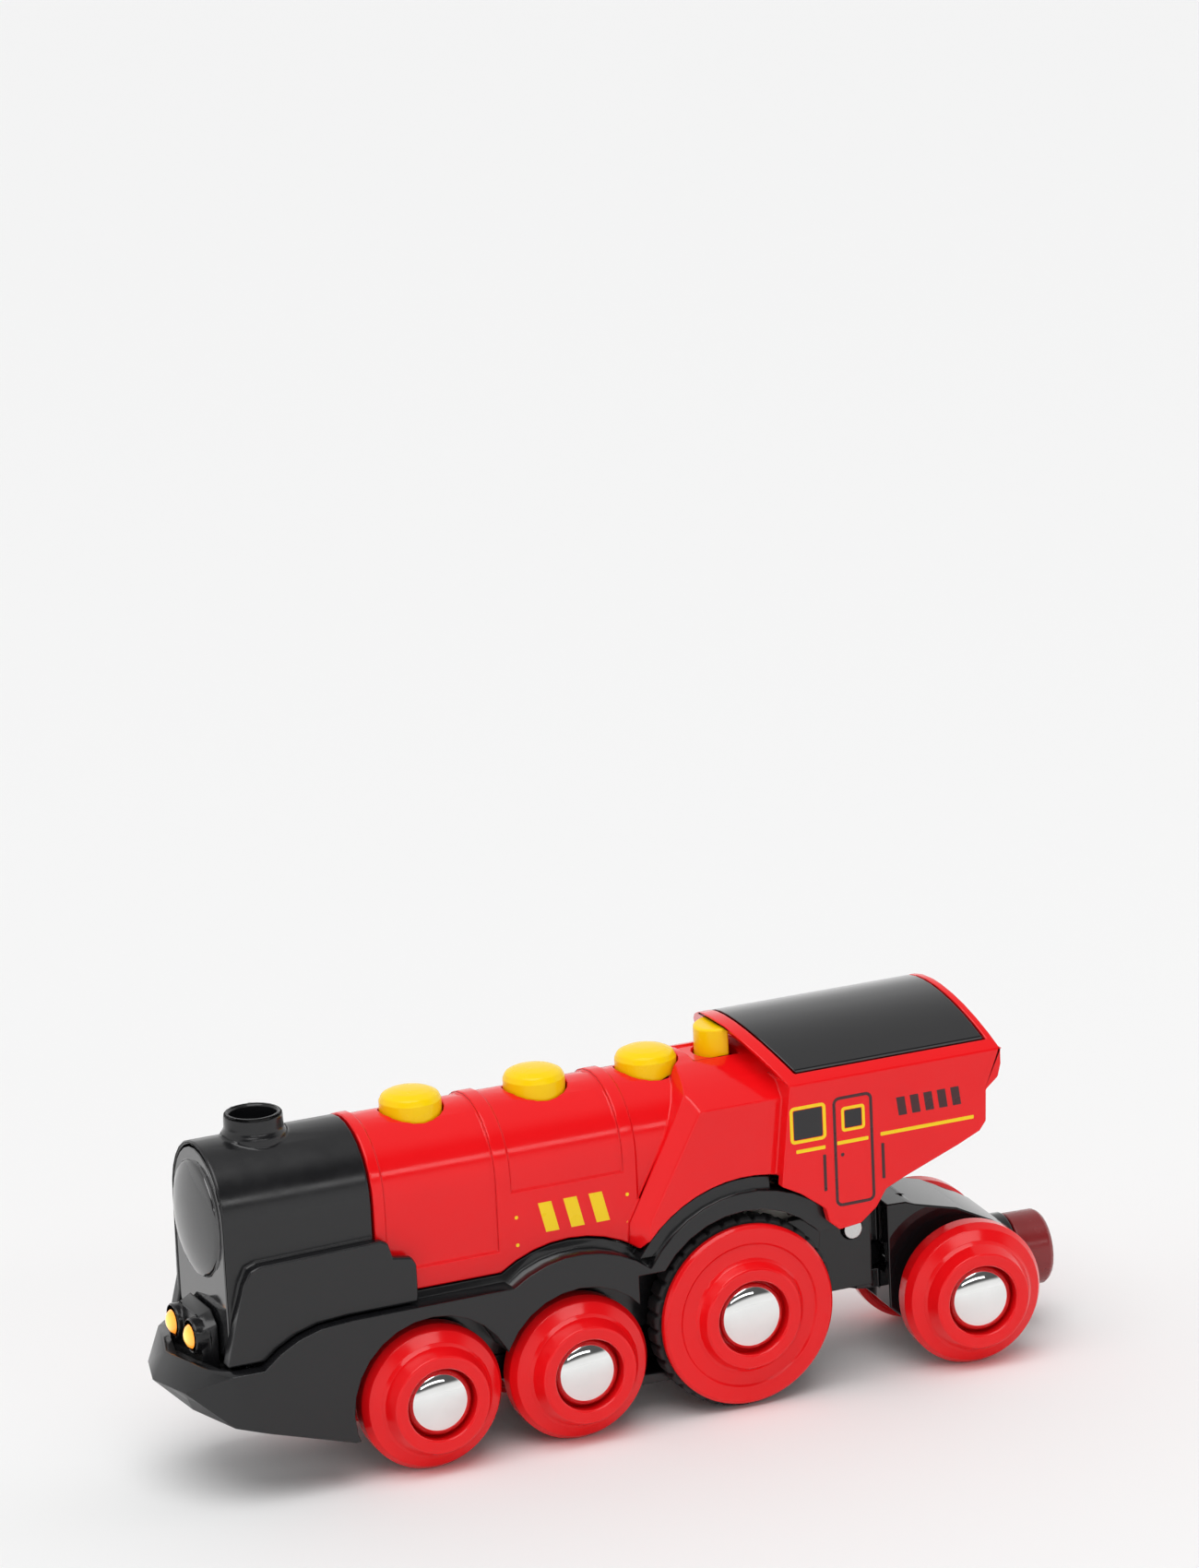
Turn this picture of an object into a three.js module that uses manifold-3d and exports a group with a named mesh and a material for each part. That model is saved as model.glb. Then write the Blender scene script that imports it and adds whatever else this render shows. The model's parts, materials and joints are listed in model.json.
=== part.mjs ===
// Battery-powered toy train locomotive for wooden track.
// Millimetres. +X is forward, +Y is the locomotive's left, +Z is up. The track surface is z = 0
// and the driven axle is close to x = 0.
import * as THREE from 'three';
import { mergeVertices } from 'three/addons/utils/BufferGeometryUtils.js';
import { ConvexGeometry } from 'three/addons/geometries/ConvexGeometry.js';
import Module from 'manifold-3d';

// ---------------------------------------------------------------- driving dimensions
const GAP = 0.3; // clearance kept between neighbouring pieces
const WALL = 1.8; // moulded wall thickness

const WHEEL_R = 12; // flanged running wheels
const WHEEL_INNER_Y = 9.8; // inner face of every wheel
const WHEEL_FACE_Y = 18; // outermost face of a running wheel
const DRIVE_R = 15.9; // rubber-tyred driving wheels
const TYRE_BED_R = 13.4;
const AXLE_R = 1.5;
const AXLE_BORE_R = AXLE_R + GAP;
const AXLE_HALF = 14.6;

const FRONT_AXLE_X = 54;
const MIDDLE_AXLE_X = 28.6;
const DRIVE_AXLE_X = -0.7;

const SIDE_Y = 15.3; // outer face of the chassis skirts
const BEAM_Y = 9.2; // half width of the chassis between the wheels
const LEDGE_Z = 27.8; // running board
const FLOOR_Z = 5;

const BOILER_R = 11.75; // over the raised bands
const BOILER_Z = 44.6; // centre of the boiler's round top
const PANEL_DEPTH = 0.45; // sunk panels between the bands
const BOILER_FRONT_X = 61.4;
const SMOKEBOX_FRONT_X = 86.4;

const CAB_Y = 17.4; // half width of the cab
const EAVE_Z = 53.5;
const RIDGE_Z = 61.6;
const CAB_FRONT_X = -8.6; // at the eave
const CAB_REAR_X = -46.6; // at the eave
const ROOF_RAKE = { front: 0.69, rear: 0.4 }; // forward lean of the roof's ends per unit of height

const PIVOT_R = 1.5;
const PIVOT_X = -28.5; // vertical swivel of the trailing truck
const TRUCK_YAW = THREE.MathUtils.degToRad(-4.5); // the truck stands turned a little
const TRUCK_AXLE_U = -13.8; // trailing axle behind the swivel
const TRUCK_SIDE_PLAY = 1; // the trailing wheels stand this far to the left in the truck
const TRUCK_Y = 8.3; // half width of the truck between its wheels
const PIN_X = -22.6; // cross pin that carries the truck
const PIN_Z = 24.7;
const PIN_R = 1.65;

const BUTTON_R = 5;
const BUTTON_XS = { front: 49.7, middle: 28.3, rear: 8.7 };
const STOP_X = -4.4; // flat back of the half-round stop button
const STOP_R = 4.1;

const SCREW_R = 1.2; // screw shanks
const SCREW_HEAD_R = 2.6;
const FRONT_SCREW_X = 70.5;
const REAR_SCREW_X = -37;
const COVER_SCREW_X = 12.1;

const GEAR_MODULE = 0.75;
const PINION_TEETH = 8;
const LARGE_TEETH = 24;
const SMALL_TEETH = 10;
const AXLE_TEETH = 20;

// ---------------------------------------------------------------- solids
const wasm = await Module();
wasm.setup();

function signedVolume(positions, triangles) {
  const corners = [0, 1, 2].map(() => new THREE.Vector3());
  let volume = 0;
  for (let i = 0; i < triangles.length; i += 3) {
    corners.forEach((corner, k) => corner.fromArray(positions, 3 * triangles[i + k]));
    volume += corners[0].dot(corners[1].clone().cross(corners[2])) / 6;
  }
  return volume;
}

function solid(geometry) {
  const bare = geometry.clone();
  bare.deleteAttribute('normal');
  bare.deleteAttribute('uv');
  const merged = mergeVertices(bare, 1e-4);
  const vertProperties = Float32Array.from(merged.attributes.position.array);
  const triVerts = Uint32Array.from(merged.index.array);
  if (signedVolume(vertProperties, triVerts) < 0) triVerts.reverse();
  return new wasm.Manifold(new wasm.Mesh({ numProp: 3, vertProperties, triVerts }));
}

function geometryOf(body) {
  const mesh = body.getMesh();
  const indexed = new THREE.BufferGeometry();
  indexed.setAttribute('position', new THREE.BufferAttribute(mesh.vertProperties, 3));
  indexed.setIndex(new THREE.BufferAttribute(mesh.triVerts, 1));
  const flat = indexed.toNonIndexed();
  flat.computeVertexNormals();
  return flat;
}

const join = (...bodies) => bodies.reduce((all, body) => all.add(body));
const cut = (body, ...tools) => tools.reduce((rest, tool) => rest.subtract(tool), body);
const moved = (geometry, x, y, z) => geometry.translate(x, y, z);

function box(x0, x1, y0, y1, z0, z1) {
  const block = new THREE.BoxGeometry(x1 - x0, y1 - y0, z1 - z0);
  return solid(moved(block, (x0 + x1) / 2, (y0 + y1) / 2, (z0 + z1) / 2));
}

function extruded(points, depth) {
  const outline = new THREE.Shape(points.map(([u, v]) => new THREE.Vector2(u, v)));
  return new THREE.ExtrudeGeometry(outline, { depth, bevelEnabled: false });
}

// Outline in X and Z, running along Y.
const alongY = (points, y0, y1) => solid(moved(extruded(points, y1 - y0).rotateX(Math.PI / 2), 0, y1, 0));

// Outline in X and Y, running along Z.
const alongZ = (points, z0, z1) => solid(moved(extruded(points, z1 - z0), 0, 0, z0));

// Outline in Y and Z, running along X.
const SECTION_TURN = new THREE.Matrix4().makeBasis(
  new THREE.Vector3(0, 1, 0),
  new THREE.Vector3(0, 0, 1),
  new THREE.Vector3(1, 0, 0),
);
const sectionRun = (points, x0, x1) => moved(extruded(points, x1 - x0).applyMatrix4(SECTION_TURN), x0, 0, 0);
const alongX = (points, x0, x1) => solid(sectionRun(points, x0, x1));

function rodY(x, z, radius, y0, y1, sides = 24) {
  return solid(moved(new THREE.CylinderGeometry(radius, radius, y1 - y0, sides), x, (y0 + y1) / 2, z));
}

function rodZ(x, y, radius, z0, z1, sides = 24) {
  const rod = new THREE.CylinderGeometry(radius, radius, z1 - z0, sides).rotateX(Math.PI / 2);
  return solid(moved(rod, x, y, (z0 + z1) / 2));
}

function rodX(y, z, radius, x0, x1, sides = 24) {
  const rod = new THREE.CylinderGeometry(radius, radius, x1 - x0, sides).rotateZ(Math.PI / 2);
  return solid(moved(rod, (x0 + x1) / 2, y, z));
}

// Profile of [radius, height] points turned about Y, Z or X.
const lathe = (profile, sides) =>
  new THREE.LatheGeometry(profile.map(([r, h]) => new THREE.Vector2(r, h)), sides);
const turnedY = (profile, sides) => solid(lathe(profile, sides));
const turnedZ = (profile, sides, x, y) => solid(moved(lathe(profile, sides).rotateX(Math.PI / 2), x, y, 0));
const turnedX = (profile, sides, y, z) => solid(moved(lathe(profile, sides).rotateZ(-Math.PI / 2), 0, y, z));

const mirrored = (points) => points.flatMap(([x, y, z]) => [[x, y, z], [x, -y, z]]);
const hull = (points) => solid(new ConvexGeometry(points.map((p) => new THREE.Vector3(...p))));

function arc(cx, cz, radius, fromDegrees, toDegrees, steps) {
  return Array.from({ length: steps + 1 }, (_, i) => {
    const angle = THREE.MathUtils.degToRad(fromDegrees + ((toDegrees - fromDegrees) * i) / steps);
    return [cx + radius * Math.cos(angle), cz + radius * Math.sin(angle)];
  });
}

// Round-topped cross-section with straight sides.
const archSection = (radius, centreZ, bottomZ) => [
  [-radius, bottomZ],
  [radius, bottomZ],
  ...arc(0, centreZ, radius, 0, 180, 14),
];

const bothSides = (build) => join(build(1), build(-1));
const onSide = (side, y0, y1) => (side > 0 ? [y0, y1] : [-y1, -y0]);
const sideSlab = (points, side, y0, y1) => alongY(points, ...onSide(side, y0, y1));

// ---------------------------------------------------------------- materials and nodes
const FINISH = {
  red: [0xe4202a, 0.24, 0],
  black: [0x1d1c1e, 0.28, 0],
  gloss: [0x131214, 0.1, 0],
  yellow: [0xffc81e, 0.35, 0],
  amber: [0xffa51e, 0.2, 0],
  rubber: [0x161616, 0.8, 0],
  chrome: [0xd8d8d8, 0.12, 1],
  steel: [0xb4b4b2, 0.35, 1],
  maroon: [0x7c2226, 0.3, 0],
  nylon: [0xe9e6dc, 0.5, 0],
  board: [0x1f6b3a, 0.5, 0],
  sleeve: [0x2f4f86, 0.4, 0],
  brass: [0xb58b3c, 0.35, 1],
};

const group = new THREE.Group();

function node(name, geometry, finish, parent = group) {
  const [color, roughness, metalness] = FINISH[finish];
  const mesh = new THREE.Mesh(geometry, new THREE.MeshStandardMaterial({ color, roughness, metalness }));
  mesh.name = name;
  parent.add(mesh);
  return mesh;
}

// ---------------------------------------------------------------- wheelsets
// A wheel stands on the Y axis with its outer face towards +Y; the right-hand one is turned round.
function runningWheel() {
  return turnedY([
    [AXLE_BORE_R, WHEEL_INNER_Y],
    [11, WHEEL_INNER_Y],
    [WHEEL_R, 10.9],
    [WHEEL_R, 13.4],
    [11.1, 14.6],
    [9.4, 15.4],
    [7.9, WHEEL_FACE_Y],
    [5.9, WHEEL_FACE_Y],
    [5.9, 15],
    [AXLE_BORE_R, 15],
    [AXLE_BORE_R, WHEEL_INNER_Y],
  ], 24);
}

function drivingWheel() {
  return turnedY([
    [AXLE_BORE_R, WHEEL_INNER_Y],
    [TYRE_BED_R, WHEEL_INNER_Y],
    [TYRE_BED_R, 14.2],
    [15.1, 14.2],
    [15.1, 15.2],
    [14.6, 15.7],
    [11.8, 15.7],
    [11.6, 15.4],
    [9.2, 16.1],
    [8.4, 17.6],
    [6.2, 17.6],
    [6.2, 15],
    [AXLE_BORE_R, 15],
    [AXLE_BORE_R, WHEEL_INNER_Y],
  ], 28);
}

function hubCap(radius, bulge) {
  return turnedY([
    [0, 15 + GAP],
    [radius, 15 + GAP],
    [radius, 16.2],
    [0.86 * radius, 16.2 + 0.5 * bulge],
    [0.5 * radius, 16.2 + 0.88 * bulge],
    [0, 16.2 + bulge],
  ], 16);
}

function ribbedTyre() {
  const ribs = 36;
  const pitch = 360 / ribs;
  const outline = Array.from({ length: ribs }, (_, i) => [
    ...arc(0, 0, DRIVE_R, i * pitch, (i + 0.6) * pitch, 1),
    ...arc(0, 0, DRIVE_R - 0.5, (i + 0.8) * pitch, (i + 0.8) * pitch, 1).slice(1),
  ]).flat();
  return cut(alongY(outline, 10.1, 13.9), rodY(0, 0, TYRE_BED_R + GAP, 9, 15, 28));
}

const wheelGeometry = geometryOf(runningWheel());
const driveGeometry = geometryOf(drivingWheel());
const tyreGeometry = geometryOf(ribbedTyre());
const capGeometry = geometryOf(hubCap(5.5, 2.3));
const driveCapGeometry = geometryOf(hubCap(5.6, 2));
const axleGeometry = geometryOf(rodY(0, 0, AXLE_R, -AXLE_HALF, AXLE_HALF, 16));

function wheelset(name, x, z, pieces, parent) {
  const set = new THREE.Group();
  set.position.set(x, 0, z);
  node(`${name}_axle`, axleGeometry, 'steel', set);
  for (const [side, turn] of [['left', 0], ['right', Math.PI]]) {
    for (const [piece, geometry, finish] of pieces) {
      node(`${name}_${piece}_${side}`, geometry, finish, set).rotation.z = turn;
    }
  }
  parent.add(set);
}

const runningPieces = [['wheel', wheelGeometry, 'red'], ['cap', capGeometry, 'chrome']];
const drivingPieces = [
  ['wheel', driveGeometry, 'red'],
  ['tyre', tyreGeometry, 'rubber'],
  ['cap', driveCapGeometry, 'chrome'],
];
wheelset('front', FRONT_AXLE_X, WHEEL_R, runningPieces, group);
wheelset('middle', MIDDLE_AXLE_X, WHEEL_R, runningPieces, group);
wheelset('drive', DRIVE_AXLE_X, DRIVE_R, drivingPieces, group);

// ---------------------------------------------------------------- gear train and motor
const pitchRadius = (teeth) => (teeth * GEAR_MODULE) / 2;
const LAY_X = DRIVE_AXLE_X - 3.6;
const LAY_Z = DRIVE_R + Math.sqrt((pitchRadius(SMALL_TEETH) + pitchRadius(AXLE_TEETH)) ** 2 - 3.6 ** 2);
const MOTOR_X = LAY_X - 4.5;
const MOTOR_Z = LAY_Z + Math.sqrt((pitchRadius(PINION_TEETH) + pitchRadius(LARGE_TEETH)) ** 2 - 4.5 ** 2);

// Spur gear on the Y axis; a tooth centre stands at startDegrees from +X towards +Z.
function gear(teeth, y0, y1, bore, startDegrees) {
  const radius = pitchRadius(teeth);
  const pitch = 360 / teeth;
  const outline = Array.from({ length: teeth }, (_, i) => {
    const middle = startDegrees + i * pitch;
    return [
      ...arc(0, 0, radius + 0.5, middle - 0.1 * pitch, middle + 0.1 * pitch, 1),
      ...arc(0, 0, radius - 0.9, middle + 0.27 * pitch, middle + 0.73 * pitch, 1),
    ];
  }).flat();
  const wheel = alongY(outline, y0, y1);
  return bore > 0 ? cut(wheel, rodY(0, 0, bore, y0 - 1, y1 + 1, 12)) : wheel;
}

const bearing = (x0, z0, x1, z1) => THREE.MathUtils.radToDeg(Math.atan2(z1 - z0, x1 - x0));
const toLay = bearing(DRIVE_AXLE_X, DRIVE_R, LAY_X, LAY_Z);
const toMotor = bearing(LAY_X, LAY_Z, MOTOR_X, MOTOR_Z);
const halfPitch = (teeth) => 180 / teeth;

node('axle_gear', geometryOf(gear(AXLE_TEETH, 1, 3.8, AXLE_BORE_R, toLay)), 'nylon')
  .position.set(DRIVE_AXLE_X, 0, DRIVE_R);

const layGear = join(
  gear(SMALL_TEETH, 0.9, 4.8, 1.3, toLay + 180 + halfPitch(SMALL_TEETH)),
  gear(LARGE_TEETH, 4.6, 7, 1.3, toMotor),
);
node('compound_gear', geometryOf(layGear), 'nylon').position.set(LAY_X, 0, LAY_Z);
node('compound_shaft', geometryOf(rodY(LAY_X, LAY_Z, 1, -8.4, 8.4, 12)), 'steel');

const pinion = gear(PINION_TEETH, 4.8, 7.2, 1.3, toMotor + 180 + halfPitch(PINION_TEETH));
node('motor_pinion', geometryOf(pinion), 'brass').position.set(MOTOR_X, 0, MOTOR_Z);
const MOTOR_R = 6.8;
const motorCan = cut(
  rodY(0, 0, MOTOR_R, -9.4, 3.6, 20),
  box(-9, 9, -13, 4.5, 5.4, 9),
  box(-9, 9, -13, 4.5, -9, -5.4),
);
const motor = join(motorCan, rodY(0, 0, 2.2, 3.5, 4.3, 12), rodY(0, 0, 1, 4, 8.4, 10));
node('motor', geometryOf(motor), 'steel').position.set(MOTOR_X, 0, MOTOR_Z);

// ---------------------------------------------------------------- shared outlines
const WELL_R = 13.9; // wheel wells
const DRIVE_WELL_R = 17.6;
const DRIVE_ARCH_X = DRIVE_AXLE_X - 0.8;
const driveArch = (radius, from, to, steps) => arc(DRIVE_ARCH_X, DRIVE_R, radius, from, to, steps);
const wheelArch = (radius, from, to, steps) => arc(MIDDLE_AXLE_X, WHEEL_R, radius, from, to, steps);

// Side outline of the cab below the eave, with its door lobe and its swept-up tail.
const cabSide = [
  [CAB_FRONT_X, EAVE_Z],
  [-6.6, 37],
  [-10, 35.2],
  [-14.3, 31.9],
  [-14.8, 29.6],
  [-16.6, 28],
  [-20.4, 28.4],
  [-23.3, 30.6],
  [-25.2, 33.4],
  [-29, 35],
  [-38.4, 38.5],
  [-42.4, 40.2],
  [-43.6, 41.7],
  [-43.8, 47],
  [-46, 48.8],
  [CAB_REAR_X, 51],
  [CAB_REAR_X, EAVE_Z],
];

// ---------------------------------------------------------------- red body: boiler, firebox and cab
const BAND_EDGES = { front: 59.5, second: [38, 40.6], third: [16.2, 18.6] };

function sunkPanel(x0, x1, z0) {
  const over = alongX(archSection(BOILER_R + 1, BOILER_Z, z0), x0, x1);
  return cut(over, alongX(archSection(BOILER_R - PANEL_DEPTH, BOILER_Z, z0 - 1), x0 - 1, x1 + 1));
}

const ROOF_RISE = RIDGE_Z - EAVE_Z;
const ROOF_R = (CAB_Y ** 2 + ROOF_RISE ** 2) / (2 * ROOF_RISE);
const ROOF_CENTRE_Z = RIDGE_Z - ROOF_R;
const ROOF_FOOT_Z = 50; // flat bottom of the cutters that hollow the roof

// Segment of a circle between y = -halfWidth and halfWidth, closed by a flat bottom.
function capSection(centreZ, radius, halfWidth, bottomZ) {
  const half = THREE.MathUtils.radToDeg(Math.asin(halfWidth / radius));
  return [
    [-halfWidth, bottomZ],
    [halfWidth, bottomZ],
    ...arc(0, centreZ, radius, 90 - half, 90 + half, 12),
  ];
}
const roofSection = (radius, halfWidth, bottomZ) => capSection(ROOF_CENTRE_Z, radius, halfWidth, bottomZ);

// A run of roof whose two ends lean forward above the eave, each by its own rake.
function raked(section, x0, x1) {
  const run = sectionRun(section, x0, x1);
  const position = run.attributes.position;
  for (let i = 0; i < position.count; i += 1) {
    const rake = position.getX(i) > (x0 + x1) / 2 ? ROOF_RAKE.front : ROOF_RAKE.rear;
    position.setX(i, position.getX(i) + rake * (position.getZ(i) - EAVE_Z));
  }
  return solid(run);
}

const FIREBOX_Y = 15;
const FIREBOX_TOP = 56.8;
const FIREBOX_INNER_Y = FIREBOX_Y - WALL;
const fireboxSection = (halfWidth, top, bottomZ) => capSection(top - ROOF_R, ROOF_R, halfWidth, bottomZ);

// The firebox's flank leans back from a wider foot on the boiler to its own side face.
const FIREBOX_FOOT = 2.4;
const fireboxHollow = [[13.8, 10], [13.8, 33.2], [1.8, 52.6], [0.6, 60], [-12, 60], [-12, 10]];
const fireboxFace = [[15.8, 28], [15.8, 33.8], [4, 53], [2.4, 58], [-9, 58], [-9, 28]];
const fireboxFlank = () => hull(mirrored(fireboxFace.flatMap(([x, z]) => [
  [x, FIREBOX_Y, z],
  [x > 0 ? x + FIREBOX_FOOT : x, BOILER_R + 0.15, z],
])));

const PANEL_X = [-45, -11.6]; // black roof panel, measured at the eave
const PANEL_Y = 15.5;
const PANEL_THICK = 1;

function bodyShell() {
  const boiler = cut(
    alongX(archSection(BOILER_R, BOILER_Z, 26), -9, BOILER_FRONT_X),
    sunkPanel(BAND_EDGES.second[1], BAND_EDGES.front, 33.2),
    sunkPanel(BAND_EDGES.third[1], BAND_EDGES.second[0], 42.6),
    sunkPanel(-9, BAND_EDGES.third[0], 20),
  );
  const firebox = fireboxFlank().intersect(alongX(fireboxSection(FIREBOX_Y, FIREBOX_TOP, 26), -9, 20));
  const cab = join(
    alongY(cabSide, -CAB_Y, CAB_Y),
    raked(roofSection(ROOF_R, CAB_Y, EAVE_Z - 0.02), CAB_REAR_X, CAB_FRONT_X),
  );
  const rimR = ROOF_R - 1.6;
  const rimY = 14.4;
  const frontRecess = raked(roofSection(rimR, rimY, 52), CAB_FRONT_X - 1.1, CAB_FRONT_X + 4)
    .intersect(box(-14, 4, -CAB_Y, CAB_Y, 54.4, 64));
  const rearRecess = raked(roofSection(rimR, rimY, 44), CAB_REAR_X - 4, CAB_REAR_X + 1.6)
    .intersect(box(-60, -38, -CAB_Y, CAB_Y, 54.4, 64));
  const outside = join(cut(cab, frontRecess, rearRecess), boiler, firebox);

  const innerR = BOILER_R - WALL;
  const hollow = join(
    alongX(archSection(innerR, BOILER_Z, 10), -12, BOILER_FRONT_X + 1),
    alongY(fireboxHollow, -FIREBOX_INNER_Y, FIREBOX_INNER_Y)
      .intersect(alongX(fireboxSection(FIREBOX_INNER_Y, FIREBOX_TOP - WALL, 9), -12, 16)),
    box(-41.8, -10.6, -CAB_Y + WALL, CAB_Y - WALL, 10, EAVE_Z + 0.5),
    raked(roofSection(ROOF_R - 3.1, CAB_Y - WALL - 0.6, ROOF_FOOT_Z), CAB_REAR_X + 4.8, CAB_FRONT_X - 4),
    box(-12.5, -7, -12, 12, 10, 51.6),
  );
  const inner = CAB_Y - WALL;
  const driveOutline = [[-10.9, 0], [24, 0], [24, 28.8], ...driveArch(23.1, 34, 114, 12)];
  const driveOpening = alongY(driveOutline, -inner, inner);
  const wheelOpening = alongY([
    [90, 0],
    [90, 29.6],
    ...wheelArch(21.2, 56, 124, 8),
    [16.5, 28.8],
    [10, 28.8],
    [10, 0],
  ], -inner, inner);
  const panelPocket = cut(
    raked(roofSection(ROOF_R + 2, PANEL_Y + GAP, EAVE_Z), PANEL_X[0] - GAP, PANEL_X[1] + GAP),
    raked(roofSection(ROOF_R - PANEL_THICK - GAP, CAB_Y - 0.8, ROOF_FOOT_Z), -50, 0),
  );
  const buttonHoles = Object.values(BUTTON_XS).map((x) => rodZ(x, 0, BUTTON_R + GAP, 48, 62, 20));
  const stopBack = STOP_X - 1.6;
  const stopHalf = STOP_R + GAP;
  const stopArc = arc(STOP_X, 0, stopHalf, -90, 90, 10);
  const stopHole = join(
    alongZ([[stopBack, -stopHalf], ...stopArc, [stopBack, stopHalf]], 48, 58.5),
    box(stopBack, 2, -stopHalf, stopHalf, 56, RIDGE_Z - 0.7),
  );
  const fixingPost = cut(
    rodZ(REAR_SCREW_X, 0, 2.8, 41.8, RIDGE_Z - WALL, 16),
    rodZ(REAR_SCREW_X, 0, SCREW_R + GAP, 40, 52, 12),
  );
  return join(
    cut(outside, hollow, driveOpening, wheelOpening, panelPocket, stopHole, ...buttonHoles),
    fixingPost,
  );
}
node('body_shell', geometryOf(bodyShell()), 'red');

const roofPanel = cut(
  raked(roofSection(ROOF_R, PANEL_Y, EAVE_Z), PANEL_X[0], PANEL_X[1]),
  raked(roofSection(ROOF_R - PANEL_THICK, CAB_Y - 0.5, ROOF_FOOT_Z), -50, 0),
);
node('roof_panel', geometryOf(roofPanel), 'gloss');

// ---------------------------------------------------------------- smokebox, front plate and lamps
const CHIMNEY_X = 76.2;
const SMOKEBOX_R = 11.6;
const FAIRING_Y = 13.6;

function smokeboxShell() {
  const rear = BOILER_FRONT_X + GAP;
  const drum = alongX(archSection(SMOKEBOX_R, BOILER_Z, LEDGE_Z + GAP), rear, SMOKEBOX_FRONT_X);
  const chimneySide = [[0, 52], [5.3, 52], [5.3, 56.3], [4.75, 57], [4.7, 59.2], [4.4, 59.6], [0, 59.6]];
  const chimney = turnedZ(chimneySide, 24, CHIMNEY_X, 0);
  const fairingSide = [
    [87.8, 23.2],
    [84.4, 36.1],
    [83.2, 38.3],
    [81.5, 38.9],
    [61.2, 39.3],
    [60, 38.7],
    [59.3, 36.2],
    [56.2, 35.7],
    [55.4, 34.4],
    [55.4, LEDGE_Z + GAP],
    [67.4, LEDGE_Z + GAP],
    [72.6, 27.7],
    [76.3, 26.6],
    [79.5, 24.9],
    [81.6, 23.2],
  ];
  const fairings = bothSides((side) => sideSlab(fairingSide, side, 9.6, FAIRING_Y));
  const hollow = cut(
    alongX(archSection(SMOKEBOX_R - WALL, BOILER_Z, 20), 50, 82.6),
    rodZ(FRONT_SCREW_X, 0, 2.8, 28.2, 56, 16),
  );
  return cut(
    join(drum, fairings, chimney),
    hollow,
    box(50, rear, -12.05, 12.05, 20, 60),
    alongX(archSection(SMOKEBOX_R - 0.7, BOILER_Z, 20), 84.6, 95),
    turnedZ([[0, 50], [3.75, 50], [3.75, 59.2], [4.1, 60], [0, 60]], 24, CHIMNEY_X, 0),
    rodZ(FRONT_SCREW_X, 0, SCREW_R + GAP, 20, 36, 12),
  );
}
node('smokebox_shell', geometryOf(smokeboxShell()), 'black');

const DOOR_Z = 43.8;
function frontPlate() {
  const plate = alongX(archSection(SMOKEBOX_R - 1, BOILER_Z, 23.2), 84.9, SMOKEBOX_FRONT_X);
  const domeProfile = [[0, 85.5], [9.4, 85.5], [9.4, 86.7], [8.9, 87.2], [7, 87.9], [4, 88.5], [0, 88.7]];
  return join(plate, turnedX(domeProfile, 24, 0, DOOR_Z));
}
node('front_plate', geometryOf(frontPlate()), 'gloss');

const LAMP_Y = 4;
const LAMP_Z = 26.1;
const LENS_R = 2.1;
function lampHousing() {
  const back = 86.8;
  const block = hull(mirrored([
    [back, 7, 20.2], [back, 7, 28.4], [back, 4.5, 30.2],
    [89.4, 6.6, 20.2], [89.4, 6.4, 27.4], [89, 4, 29.2],
  ]));
  const tubes = bothSides((side) => rodX(side * LAMP_Y, LAMP_Z, 2.9, 88, 90.4, 16));
  const sockets = bothSides((side) => rodX(side * LAMP_Y, LAMP_Z, LENS_R + GAP, 87.6, 92, 14));
  return cut(join(block, tubes), sockets);
}
node('lamp_housing', geometryOf(lampHousing()), 'black');
for (const [side, y] of [['left', LAMP_Y], ['right', -LAMP_Y]]) {
  const lensProfile = [[0, 88], [LENS_R, 88], [LENS_R, 90.2], [1.6, 90.9], [0.8, 91.3], [0, 91.4]];
  node(`lamp_lens_${side}`, geometryOf(turnedX(lensProfile, 14, y, LAMP_Z)), 'amber');
}

// ---------------------------------------------------------------- chassis
const COVER_X = [8.8, 66];
const RISE = 5.8; // the cover's bottom rises this much between the axles

function bow() {
  return hull(mirrored([
    [93.4, 0, 22.9], [91.5, 6.6, 22.8], [89.9, 12.5, 22.6], [87.8, SIDE_Y, 22.3], [68, SIDE_Y, 22.3],
    [95.7, 0, 18.7], [93.4, 8.4, 18.6], [92, 7.6, 15.4], [87.4, 14, 13.4],
    [83, SIDE_Y, 12.2], [68, SIDE_Y, 7.6],
  ]));
}

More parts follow.
